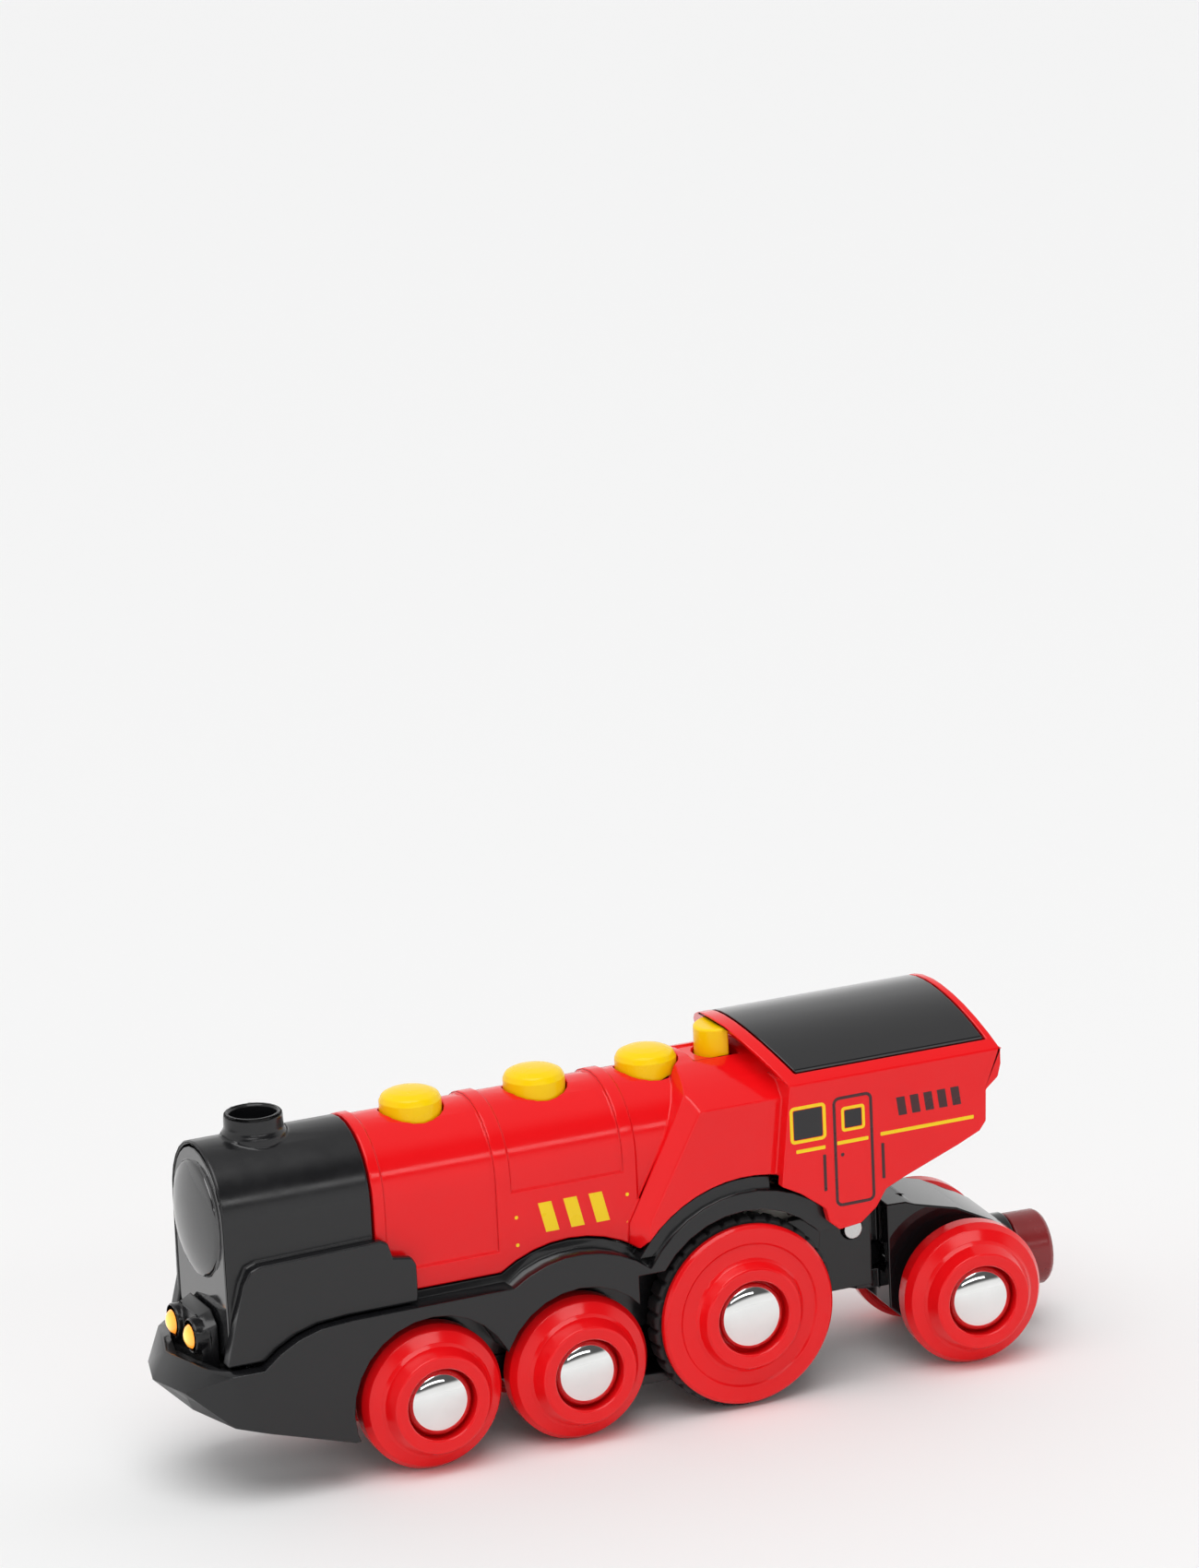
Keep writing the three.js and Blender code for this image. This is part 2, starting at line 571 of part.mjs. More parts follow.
function chassis() {
  const skirtSide = [
    ...driveArch(20.6, 140, 32, 12),
    ...wheelArch(19.4, 130.6, 55, 8),
    [67.4, LEDGE_Z],
    [72.6, 27.4],
    [76.3, 26.3],
    [79.5, 24.6],
    [82.4, 22.3],
    [82.4, 12],
    [68, 7.6],
    [40, 7.6],
    [-15, 7.6],
  ];
  const innerSide = [
    [-6, 8],
    [60.8, 8],
    [60.8, 29.2],
    ...wheelArch(20.8, 55.8, 124.2, 8),
    ...driveArch(22.7, 35.9, 101, 8),
  ];
  const underArch = [[-6, 28.4], ...driveArch(22.7, 33.5, 101, 8)];
  const deck = [
    [-15.6, 30],
    [-15.6, 33.6],
    [-23.4, 34.2],
    [-28.6, 37],
    [-41, 41.8],
    [-41, 39.9],
    [-28, 35],
    [-24, 31.8],
    [-21, 30],
  ];
  const cheek = [[-15, 14.5], [-26, 14.5], [-26, 31], [-24.5, 33], [-15, 33]];
  const deckY = CAB_Y - WALL - 0.5;
  const tail = join(
    box(-16, -14.3, -BEAM_Y, BEAM_Y, 14.5, 31),
    bothSides((side) => sideSlab(cheek, side, 6.6, 9)),
    alongY(deck, -deckY, deckY),
  );
  const outside = join(
    alongY(skirtSide, -SIDE_Y, SIDE_Y),
    alongY(innerSide, -11.3, 11.3),
    alongY(underArch, -14.2, 14.2),
    bow(),
    box(-16, 67.4, -BEAM_Y, BEAM_Y, FLOOR_Z, LEDGE_Z - 1),
    tail,
    rodZ(REAR_SCREW_X, 0, 3.6, 37.5, 41.4, 16),
  );
  const outboard = (build) => bothSides((side) => build(...onSide(side, BEAM_Y, 20)));
  const wells = join(
    outboard((y0, y1) => rodY(FRONT_AXLE_X, WHEEL_R, WELL_R, y0, y1, 28)),
    outboard((y0, y1) => rodY(MIDDLE_AXLE_X, WHEEL_R, WELL_R, y0, y1, 28)),
    outboard((y0, y1) => rodY(DRIVE_AXLE_X, DRIVE_R, DRIVE_WELL_R, y0, y1, 32)),
    outboard((y0, y1) => box(10, 18.3, y0, y1, 0, 26)),
    outboard((y0, y1) => box(-20, -6, y0, y1, 0, 27.6)),
    outboard((y0, y1) => box(30, 50, y0, y1, 0, 16)),
    box(60, 70, -BEAM_Y - 1, BEAM_Y + 1, 0, 8),
  );
  const inside = join(
    box(-14.3, COVER_X[1] - 2, -7.6, 7.6, FLOOR_Z + WALL, 60),
    box(-14.3, 59.2, -9.9, 9.9, 28, 60),
    box(-7, 12, -12.8, 12.8, 36.4, 60),
    box(73, 86, -12.6, 12.6, 0, 17),
    box(COVER_X[1], 83.5, -8.6, 8.6, 20, 40),
  );
  // Sunk floor behind the bow's rim, where the lamps stand.
  const rimPocket = hull(mirrored([
    [83, 12.8, 19.8], [86.6, 12.8, 19.8], [88.4, 11, 19.8], [90.2, 6, 19.8], [91.6, 0, 19.8],
    [83, 12.8, 40], [86.6, 12.8, 40], [88.4, 11, 40], [90.2, 6, 40], [91.6, 0, 40],
  ]));
  const coverOpening = join(
    box(COVER_X[0] - GAP, COVER_X[1] + GAP, -BEAM_Y - 1, BEAM_Y + 1, 0, 15.3),
    box(COVER_X[1] - 1, 67.8, -4.4, 4.4, 11.1, 13.9),
  );
  const braces = join(box(13, 14.8, -8.2, 8.2, 16.6, 24), box(9.4, 14.8, -3, 3, 7.2, 24));
  const holes = [
    rodZ(COVER_SCREW_X, 0, SCREW_R + GAP, 0, 21, 12),
    rodY(DRIVE_AXLE_X, DRIVE_R, AXLE_BORE_R, -20, 20, 16),
    rodY(LAY_X, LAY_Z, 1 + GAP, -20, 20, 12),
    rodY(PIN_X, PIN_Z, PIN_R + GAP, -20, 20, 16),
    rodZ(FRONT_SCREW_X, 0, SCREW_R + GAP, 0, 30, 12),
    rodZ(FRONT_SCREW_X, 0, SCREW_HEAD_R + GAP, 0, 10.8, 16),
    rodZ(REAR_SCREW_X, 0, SCREW_R + GAP, 30, 45, 12),
  ];
  const soundSlots = [0, 1, 2, 3].map((i) => box(-34 + 2.6 * i, -32.8 + 2.6 * i, -6, 6, 28, 44));
  const frame = join(cut(outside, wells, inside, rimPocket, coverOpening), braces);
  return cut(frame, ...holes, ...soundSlots);
}
node('chassis', geometryOf(chassis()), 'black');
node('cross_pin', geometryOf(rodY(PIN_X, PIN_Z, PIN_R, -9.8, 9.8, 16)), 'steel');

function batteryCover() {
  const [x0, x1] = COVER_X;
  // The tray hangs down round each axle and rises between them.
  const bottom = (z, inset) => [
    [x0, z],
    [34.6 + inset, z],
    [36.6 + inset, z + RISE],
    [45.9 - inset, z + RISE],
    [47.9 - inset, z],
    [60.1 + inset, z],
    [62.1 + inset, z + RISE],
    [x1 - inset * 2, z + RISE],
  ];
  const floor = bottom(FLOOR_Z + WALL, -0.9).slice(1);
  const hollow = [...floor, [x1 - WALL, 20], [17.4, 20], [17.4, FLOOR_Z + WALL]];
  const tray = cut(
    alongY([...bottom(FLOOR_Z, 0), [x1, 15], [x0, 15]], -BEAM_Y, BEAM_Y),
    alongY(hollow, -7.6, 7.6),
    box(x0 - 1, 15.4, -20, 20, FLOOR_Z + WALL, 20),
  );
  const hook = box(x1 - 0.5, 67.3, -4, 4, 11.5, 13.5);
  return cut(
    join(tray, hook),
    rodY(FRONT_AXLE_X, WHEEL_R, AXLE_BORE_R, -20, 20, 16),
    rodY(MIDDLE_AXLE_X, WHEEL_R, AXLE_BORE_R, -20, 20, 16),
    rodZ(COVER_SCREW_X, 0, SCREW_R + GAP, 0, 20, 12),
  );
}
node('battery_cover', geometryOf(batteryCover()), 'black');

// Pan-head screw standing on the Z axis, head down, with a driver slot.
function screw(headR, shankR, headTop, tip) {
  const body = turnedZ([
    [0, headTop - 1.5],
    [headR - 0.5, headTop - 1.5],
    [headR, headTop - 0.9],
    [headR, headTop],
    [shankR, headTop],
    [shankR, tip - 1],
    [0, tip],
  ], 12, 0, 0);
  return geometryOf(cut(body, box(-1.6, 1.6, -0.3, 0.3, headTop - 2, headTop - 0.8)));
}
node('cover_screw', screw(2.4, SCREW_R, FLOOR_Z - GAP, 19), 'steel').position.x = COVER_SCREW_X;
node('body_screw_front', screw(SCREW_HEAD_R, SCREW_R, 10.5, 34), 'steel').position.x = FRONT_SCREW_X;
node('body_screw_rear', screw(SCREW_HEAD_R, SCREW_R, 37.2, 50), 'steel').position.x = REAR_SCREW_X;

// ---------------------------------------------------------------- power and controls
const CELL_R = 5.2;
const CELL_X = [16.8, 60.6];
function cell(z, facing) {
  const [x0, x1] = facing > 0 ? [CELL_X[0], CELL_X[1] - 1] : [CELL_X[0] + 1, CELL_X[1]];
  const nub = facing > 0 ? [x1 - 0.2, x1 + 0.8] : [x0 - 0.8, x0 + 0.2];
  return join(rodX(0, z, CELL_R, x0, x1, 20), rodX(0, z, 1.8, ...nub, 12));
}
node('battery_lower', geometryOf(cell(20.6, 1)), 'sleeve');
node('battery_upper', geometryOf(cell(31.4, -1)), 'sleeve');
node('contact_front', geometryOf(box(CELL_X[1] + GAP, CELL_X[1] + 0.8, -4, 4, 17, 35)), 'steel');
node('contact_rear', geometryOf(box(CELL_X[0] - 0.8, CELL_X[0] - GAP, -4, 4, 17, 35)), 'steel');

const BOARD_Z = 46.4;
node('circuit_board', geometryOf(box(-9.4, 57, -8.2, 8.2, BOARD_Z, BOARD_Z + 1.2)), 'board');
const switchBody = geometryOf(join(box(-2.6, 2.6, -2.6, 2.6, 0, 2.2), rodZ(0, 0, 1.3, 2.1, 2.7, 12)));
const SWITCH_Z = BOARD_Z + 1.2 + GAP;
const STOP_SWITCH_X = STOP_X + 1.4;
for (const [name, x] of [...Object.entries(BUTTON_XS), ['stop', STOP_SWITCH_X]]) {
  node(`switch_${name}`, switchBody, 'gloss').position.set(x, 0, SWITCH_Z);
}

const buttonProfile = [
  [0, 51.7],
  [BUTTON_R + 0.8, 51.7],
  [BUTTON_R + 0.8, 52.5],
  [BUTTON_R, 52.5],
  [BUTTON_R, 57.1],
  [4.6, 57.9],
  [3.4, 58.5],
  [1.8, 58.8],
  [0, 58.9],
];
const buttonGeometry = geometryOf(turnedZ(buttonProfile, 22, 0, 0));
for (const [name, x] of Object.entries(BUTTON_XS)) {
  node(`button_${name}`, buttonGeometry, 'yellow').position.set(x, 0, 0);
}
function stopButton() {
  const upright = alongZ(arc(0, 0, STOP_R, -90, 90, 10), 51.7, 62);
  const crown = alongY([[-1, 50], [6, 50], [6, 59.9], [3.4, 60.4], [1, 60.6], [-1, 60.6]], -6, 6);
  return join(upright.intersect(crown), box(-0.6, 4.6, -STOP_R, STOP_R, 51.7, 52.6));
}
node('button_stop', geometryOf(stopButton()), 'yellow').position.set(STOP_X, 0, 0);

const speakerSide = [[0, 44.4], [3, 44.4], [8.6, 42.6], [9.6, 42.6], [9.6, 43.8], [6, 46], [5, 48], [0, 48]];
node('speaker', geometryOf(turnedZ(speakerSide, 20, -24, 0)), 'gloss');

// ---------------------------------------------------------------- trailing truck
function swivelLink() {
  const block = box(-24.3, -19.6, -6.2, 6.2, 15.5, 28);
  const tongue = join(box(PIVOT_X, -22, -3.6, 3.6, 15.5, 19.2), rodZ(PIVOT_X, 0, 3.6, 15.5, 19.2, 20));
  const barrelRoom = join(rodZ(PIVOT_X, 0, 4.2, 19.2, 40, 20), rodZ(PIVOT_X, 0, 4.2, 0, 15.5, 20));
  return cut(
    join(block, tongue),
    barrelRoom,
    rodY(PIN_X, PIN_Z, PIN_R + GAP, -20, 20, 16),
    rodZ(PIVOT_X, 0, PIVOT_R + GAP, 0, 40, 16),
  );
}
node('swivel_link', geometryOf(swivelLink()), 'black');

// Everything below is laid out along the truck: u runs forward from the swivel.
const truck = new THREE.Group();
truck.position.x = PIVOT_X;
truck.rotation.z = TRUCK_YAW;
group.add(truck);

const TRUCK_TOP = 27.2;
const NECK_Z = 11.6; // underside of the truck's neck, where the swivel screw goes in
const COLLAR_U = [-25.6, -22.6];
const CUP_U = [-32.2, -25.9];
const COUPLING_R = 6.3;
const COUPLING_Z = 12.8;
function truckFrame() {
  const side = [
    [-1.6, 9.4],
    [-1.6, TRUCK_TOP],
    [-5, TRUCK_TOP],
    [-6.6, 26.6],
    [-14, 24.8],
    [-20, 21.8],
    [-23, 20],
    [-23, 5.4],
    [-9, 5.4],
    [-4.4, 6.8],
  ];
  const body = alongY(side, -TRUCK_Y, TRUCK_Y);
  const neck = join(box(-6, 0, -3.8, 3.8, NECK_Z, TRUCK_TOP), rodZ(0, 0, 3.8, NECK_Z, TRUCK_TOP, 20));
  const tongueSlot = join(box(-4.4, 6, -6.4, 6.4, 15, 19.7), rodZ(0, 0, 4.4, 15, 19.7, 20));
  const underside = cut(box(-21.4, -8, -6.6, 6.6, 0, 16.5), box(-16.6, -11, -7.2, 7.2, 9.2, 20));
  return cut(
    join(body, neck, rodX(0, COUPLING_Z, COUPLING_R + 0.3, ...COLLAR_U, 24)),
    tongueSlot,
    underside,
    rodY(TRUCK_AXLE_U, WHEEL_R, AXLE_BORE_R, -20, 20, 16),
    rodZ(0, 0, PIVOT_R + GAP, 0, 26, 16),
    rodZ(0, 0, SCREW_HEAD_R + GAP, 0, NECK_Z + 1.4, 16),
  );
}
node('truck_frame', geometryOf(truckFrame()), 'black', truck);
node('swivel_screw', screw(SCREW_HEAD_R, PIVOT_R, NECK_Z + 1.4 - GAP, 25.4), 'steel', truck);
wheelset('rear', TRUCK_AXLE_U, WHEEL_R, runningPieces, truck);
truck.children.at(-1).position.y = TRUCK_SIDE_PLAY;

const cupProfile = [
  [0, CUP_U[1]],
  [COUPLING_R, CUP_U[1]],
  [COUPLING_R, CUP_U[0] + 0.8],
  [COUPLING_R - 0.7, CUP_U[0]],
  [4.9, CUP_U[0]],
  [4.9, CUP_U[0] + 3.6],
  [0, CUP_U[0] + 3.6],
];
node('coupling_cup', geometryOf(turnedX(cupProfile, 24, 0, COUPLING_Z)), 'maroon', truck);
const magnet = rodX(0, COUPLING_Z, 4.6, CUP_U[0] + 0.4, CUP_U[0] + 3.3, 20);
node('coupling_magnet', geometryOf(magnet), 'steel', truck);

export default group;
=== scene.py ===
import json
import math

import bmesh
import bpy
from mathutils import Matrix, Vector


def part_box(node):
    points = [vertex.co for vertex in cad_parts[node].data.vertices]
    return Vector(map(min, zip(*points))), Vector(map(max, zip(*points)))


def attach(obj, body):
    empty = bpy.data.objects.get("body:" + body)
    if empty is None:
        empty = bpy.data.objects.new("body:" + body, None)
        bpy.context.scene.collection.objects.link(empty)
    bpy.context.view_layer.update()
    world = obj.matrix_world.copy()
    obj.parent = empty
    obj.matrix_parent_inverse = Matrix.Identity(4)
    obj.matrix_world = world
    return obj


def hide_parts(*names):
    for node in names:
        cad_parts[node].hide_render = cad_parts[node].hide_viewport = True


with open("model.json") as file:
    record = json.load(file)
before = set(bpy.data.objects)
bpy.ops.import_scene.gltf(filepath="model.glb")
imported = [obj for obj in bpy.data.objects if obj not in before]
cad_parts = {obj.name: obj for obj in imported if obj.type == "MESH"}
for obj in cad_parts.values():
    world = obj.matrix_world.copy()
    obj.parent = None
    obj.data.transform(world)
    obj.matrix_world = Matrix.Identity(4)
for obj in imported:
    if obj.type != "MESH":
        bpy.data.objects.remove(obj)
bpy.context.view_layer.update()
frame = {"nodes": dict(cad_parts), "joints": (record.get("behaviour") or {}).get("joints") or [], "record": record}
NODES = frame["nodes"]
JOINTS = {j["name"]: j for j in frame["joints"]}
BODY_OF = {n: b for b, ns in frame["record"]["behaviour"]["bodies"].items() for n in ns}
SLOT_OF = {s["node"]: s["material_slot"] for s in frame["record"]["subparts"]}
MM = 0.001


# ---------------------------------------------------------------- materials
class Shader:
    """A Principled material with its node helpers; patterns are laid out in object space, in metres."""

    def __init__(self, name, color, roughness, metallic=0.0, coat=0.0, ior=1.5, specular=0.5):
        self.material = bpy.data.materials.new(name)
        self.material.use_nodes = True
        self.nodes = self.material.node_tree.nodes
        self.links = self.material.node_tree.links
        self.main = self.nodes["Principled BSDF"]
        self.color = color
        self.place = self.nodes.new("ShaderNodeTexCoord").outputs["Object"]
        self.main.inputs["Base Color"].default_value = (*color, 1)
        self.main.inputs["Roughness"].default_value = roughness
        self.main.inputs["Metallic"].default_value = metallic
        self.main.inputs["IOR"].default_value = ior
        self.main.inputs["Coat Weight"].default_value = coat
        self.main.inputs["Coat Roughness"].default_value = 0.05
        self.main.inputs["Specular IOR Level"].default_value = specular
        self.normal = None

    def rounded_edges(self, radius_mm):
        """Edges catch the light as if they were rounded over."""
        node = self.nodes.new("ShaderNodeBevel")
        node.samples = 6
        node.inputs["Radius"].default_value = radius_mm * MM
        self.normal = node.outputs["Normal"]
        return self

    def noise(self, per_mm, detail=3.0, stretch=(1, 1, 1)):
        source = self.place
        if stretch != (1, 1, 1):
            mapping = self.nodes.new("ShaderNodeMapping")
            mapping.inputs["Scale"].default_value = stretch
            self.links.new(source, mapping.inputs["Vector"])
            source = mapping.outputs["Vector"]
        node = self.nodes.new("ShaderNodeTexNoise")
        node.inputs["Scale"].default_value = per_mm / MM
        node.inputs["Detail"].default_value = detail
        self.links.new(source, node.inputs["Vector"])
        return node.outputs["Fac"]

    def range(self, value, low, high, start=0.3, end=0.7):
        node = self.nodes.new("ShaderNodeMapRange")
        for key, number in (("From Min", start), ("From Max", end), ("To Min", low), ("To Max", high)):
            node.inputs[key].default_value = number
        self.links.new(value, node.inputs["Value"])
        return node.outputs["Result"]

    def vary_color(self, value, dark, light):
        mix = self.nodes.new("ShaderNodeMix")
        mix.data_type = "RGBA"
        mix.inputs[6].default_value = (*[c * dark for c in self.color], 1)
        mix.inputs[7].default_value = (*[min(1, c * light) for c in self.color], 1)
        self.links.new(value, mix.inputs[0])
        self.links.new(mix.outputs[2], self.main.inputs["Base Color"])
        return self

    def vary_roughness(self, value, low, high):
        self.links.new(self.range(value, low, high), self.main.inputs["Roughness"])
        return self

    def bump(self, value, height_mm, strength=1.0):
        node = self.nodes.new("ShaderNodeBump")
        node.inputs["Distance"].default_value = height_mm * MM
        node.inputs["Strength"].default_value = strength
        self.links.new(value, node.inputs["Height"])
        if self.normal is not None:
            self.links.new(self.normal, node.inputs["Normal"])
        self.normal = node.outputs["Normal"]
        self.links.new(self.normal, self.main.inputs["Normal"])
        return self


def moulded(name, color, roughness, wave_mm=0.02, grain_mm=0.0004, edge_mm=0, **gloss):
    """Moulded plastic: slow waviness, a fine skin grain, slightly uneven gloss and colour."""
    s = Shader(name, color, roughness, **gloss)
    if edge_mm:
        s.rounded_edges(edge_mm)
    s.bump(s.noise(0.09, 1.0), wave_mm)
    s.bump(s.noise(3.0, 2.0), grain_mm)
    s.vary_roughness(s.noise(0.35, 4.0), roughness * 0.8, roughness * 1.25)
    s.vary_color(s.noise(0.05, 2.0), 0.94, 1.04)
    return s.material


def rubber():
    s = Shader("tyre_rubber", (0.012, 0.012, 0.013), 0.62)
    s.bump(s.noise(2.2, 4.0), 0.02)
    s.vary_roughness(s.noise(0.5, 3.0), 0.5, 0.75)
    s.vary_color(s.noise(0.4, 3.0), 0.7, 1.5)
    return s.material


def metal(name, color, roughness, drawn=0.004, stretch=(1, 1, 1)):
    s = Shader(name, color, roughness, metallic=1.0)
    s.bump(s.noise(1.2, 3.0, stretch), drawn)
    s.vary_roughness(s.noise(0.6, 4.0), roughness * 0.75, roughness * 1.4)
    s.vary_color(s.noise(0.3, 2.0), 0.93, 1.05)
    return s.material


def lamp_amber(across_mm, up_mm):
    """A lit amber diode: a yellow heart that fades to orange at the rim of the lens."""
    s = Shader("lamp_amber", (1.0, 0.36, 0.02), 0.08, coat=0.6)
    parts = s.nodes.new("ShaderNodeSeparateXYZ")
    s.links.new(s.place, parts.inputs["Vector"])

    def math_node(operation, first, second=0.0):
        node = s.nodes.new("ShaderNodeMath")
        node.operation = operation
        for socket, value in zip(node.inputs, (first, second)):
            if isinstance(value, float):
                socket.default_value = value
            else:
                s.links.new(value, socket)
        return node.outputs["Value"]

    across = math_node("SUBTRACT", math_node("ABSOLUTE", parts.outputs["Y"]), across_mm * MM)
    up = math_node("SUBTRACT", parts.outputs["Z"], up_mm * MM)
    across_squared = math_node("MULTIPLY", across, across)
    up_squared = math_node("MULTIPLY", up, up)
    reach = math_node("SQRT", math_node("ADD", across_squared, up_squared))
    ramp = s.nodes.new("ShaderNodeValToRGB")
    ramp.color_ramp.elements[0].color = (1.0, 0.78, 0.2, 1)
    ramp.color_ramp.elements[1].color = (0.85, 0.18, 0.005, 1)
    s.links.new(s.range(reach, 0.0, 1.0, 0.2 * MM, 2.1 * MM), ramp.inputs["Fac"])
    s.links.new(ramp.outputs["Color"], s.main.inputs["Emission Color"])
    s.main.inputs["Emission Strength"].default_value = 0.9
    s.bump(s.noise(0.7, 1.0), 0.05)
    return s.material


lens_low, lens_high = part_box("lamp_lens_left")
lens_centre = (lens_low + lens_high) / 2 / MM
MATERIALS = {
    "red": moulded("red_plastic", (0.85, 0.006, 0.009), 0.13, specular=0.36),
    "black": moulded("black_plastic", (0.008, 0.008, 0.009), 0.2, edge_mm=0.3),
    "gloss": moulded("gloss_black", (0.006, 0.006, 0.007), 0.05, 0.05, 0.0001, coat=0.3, ior=1.65),
    "yellow": moulded("yellow_plastic", (1.0, 0.66, 0.002), 0.24, specular=0.22),
    "amber": lamp_amber(lens_centre.y, lens_centre.z),
    "rubber": rubber(),
    "chrome": metal("chrome_plate", (0.86, 0.86, 0.85), 0.06, 0.002),
    "steel": metal("drawn_steel", (0.62, 0.62, 0.61), 0.24, 0.006, (0.2, 3, 0.2)),
    "maroon": moulded("maroon_plastic", (0.24, 0.018, 0.02), 0.24),
    "nylon": moulded("gear_nylon", (0.79, 0.76, 0.68), 0.42),
    "board": moulded("board_green", (0.012, 0.14, 0.04), 0.35),
    "sleeve": moulded("cell_sleeve", (0.03, 0.08, 0.25), 0.3),
    "brass": metal("cut_brass", (0.62, 0.42, 0.14), 0.25),
}
INK = {
    "yellow": moulded("ink_yellow", (1.0, 0.66, 0.01), 0.3, wave_mm=0.004, specular=0.3),
    "black": moulded("ink_black", (0.012, 0.011, 0.013), 0.22, wave_mm=0.004),
    "dark": moulded("ink_dark_line", (0.05, 0.006, 0.009), 0.3, wave_mm=0.004),
}


# ---------------------------------------------------------------- mesh helpers
MERGE_MM = 0.002
FLAT_DEGREES = 0.7  # facets within this angle of each other are one flat face


def finish_piece(name, mesh, body, slot, material=None):
    """Links a finished mesh as a piece on a body, smooth shaded and given its material."""
    for polygon in mesh.polygons:
        polygon.use_smooth = True
    mesh.materials.clear()
    mesh.materials.append(material or MATERIALS[slot])
    piece = bpy.data.objects.new(name, mesh)
    bpy.context.scene.collection.objects.link(piece)
    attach(piece, body)
    return piece


def weigh_normals(piece):
    weighted = piece.modifiers.new("normals", "WEIGHTED_NORMAL")
    weighted.weight = 80
    weighted.keep_sharp = True


def refined(node, width_mm, angle=30, segments=3):
    """The CAD node's surface with its edges rounded over and its curved faces shaded smooth."""
    mesh = NODES[node].data.copy()
    work = bmesh.new()
    work.from_mesh(mesh)
    bmesh.ops.remove_doubles(work, verts=work.verts, dist=MERGE_MM * MM)
    bmesh.ops.dissolve_limit(
        work,
        angle_limit=math.radians(FLAT_DEGREES),
        verts=work.verts,
        edges=work.edges,
        use_dissolve_boundaries=False,
    )
    work.to_mesh(mesh)
    work.free()
    piece = finish_piece(node + "_skin", mesh, BODY_OF[node], SLOT_OF[node])
    if not width_mm:
        mesh.set_sharp_from_angle(angle=math.radians(angle))
    else:
        bevel = piece.modifiers.new("edges", "BEVEL")
        bevel.limit_method = "ANGLE"
        bevel.angle_limit = math.radians(angle)
        bevel.width = width_mm * MM
        bevel.segments = segments
        bevel.use_clamp_overlap = False
        bevel.loop_slide = True
    weigh_normals(piece)
    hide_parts(node)
    return piece


def filleted(profile, radii, steps=4):
    """A polyline of [radius, height] points with its inner corners rounded."""
    if not hasattr(radii, "__len__"):
        radii = [radii] * len(profile)
    out = []
    for i, point in enumerate(profile):
        here = Vector(point)
        if i in (0, len(profile) - 1) or radii[i] == 0:
            out.append(here)
            continue
        to_last = Vector(profile[i - 1]) - here
        to_next = Vector(profile[i + 1]) - here
        half = to_last.angle(to_next) / 2
        reach = min(radii[i] / math.tan(half), 0.48 * to_last.length, 0.48 * to_next.length)
        a = here + to_last.normalized() * reach
        b = here + to_next.normalized() * reach
        for k in range(steps + 1):
            t = k / steps
            out.append(a * (1 - t) ** 2 + here * 2 * t * (1 - t) + b * t * t)
    return out


def axis_matrix(position, along, up=(0, 0, 1)):
    """Places a turned shape: its Y runs along the given direction."""
    y = Vector(along).normalized()
    z = Vector(up) if abs(y.dot(Vector(up))) < 0.9 else Vector((1, 0, 0))
    x = y.cross(z).normalized()
    z = x.cross(y)
    matrix = Matrix((x, y, z)).transposed().to_4x4()
    matrix.translation = Vector(position)
    return matrix


def turned(profile_mm, matrix, sides=96, shape=None):
    """Mesh of a profile turned about its own Y; shape may change a point's radius by its angle."""
    mesh = bpy.data.meshes.new("turned")
    work = bmesh.new()
    rings = []
    for radius, height in profile_mm:
        if radius < 1e-6:
            rings.append([work.verts.new(matrix @ Vector((0, height * MM, 0)))])
            continue
        ring = []
        for k in range(sides):
            angle = 2 * math.pi * k / sides
            r = (shape(radius, height, angle) if shape else radius) * MM
            place = Vector((r * math.cos(angle), height * MM, r * math.sin(angle)))
            ring.append(work.verts.new(matrix @ place))
        rings.append(ring)
    for lower, upper in zip(rings, rings[1:]):
        for k in range(sides):
            n = (k + 1) % sides
            low_pair = [lower[k % len(lower)], lower[n % len(lower)]]
            high_pair = [upper[n % len(upper)], upper[k % len(upper)]]
            unique = list(dict.fromkeys(low_pair + high_pair))
            if len(unique) > 2:
                work.faces.new(unique)
    bmesh.ops.recalc_face_normals(work, faces=work.faces)
    work.to_mesh(mesh)
    work.free()
    return mesh


# ---------------------------------------------------------------- wheels
# Profiles are [radius, distance from the centreline] in mm; rims are rounded by WHEEL_FILLET.
WHEEL_FILLET = 0.35
WHEEL = filleted([
    (1.8, 15), (1.8, 9.8), (8.5, 9.8), (8.7, 10.1), (10.6, 10.1), (10.8, 9.8), (11.2, 9.8),
    (12, 10.7), (12, 13.2), (11.2, 14.5), (9.5, 15.3), (9.0, 15.8), (8.0, 17.9), (7.6, 18),
    (6.1, 18), (5.9, 17.7), (5.9, 15.2), (5.4, 15), (1.8, 15),
], WHEEL_FILLET)
DRIVE_WHEEL = filleted([
    (1.8, 15), (1.8, 9.8), (13.4, 9.8), (13.4, 14.2), (15.1, 14.2), (15.1, 15.2), (14.6, 15.7),
    (12.1, 15.7), (11.8, 15.35), (9.6, 15.6), (9.1, 16.0), (8.4, 17.4), (8.1, 17.6), (6.4, 17.6),
    (6.2, 17.3), (6.2, 15.2), (5.8, 15), (1.8, 15),
], WHEEL_FILLET)
CAP_BACK = 15.35
CAP_SHOULDER = 16.0


def cap_profile(radius, bulge):
    """Pressed cap: rolled rim, flat shoulder and a domed crown."""
    angles = [math.radians(a) for a in range(0, 90, 5)]
    crown = [(radius * math.cos(t), CAP_SHOULDER + bulge * math.sin(t)) for t in angles]
    rim = [(0, CAP_BACK), (radius * 0.96, CAP_BACK), (radius, CAP_BACK + 0.15)]
    return [*rim, *crown, (0, CAP_SHOULDER + bulge)]


def wheel_sides(joint):
    matrix = axis_matrix(JOINTS[joint]["pos_m"], JOINTS[joint]["axis"])
    return (("left", matrix), ("right", matrix @ Matrix.Rotation(math.pi, 4, "Z")))


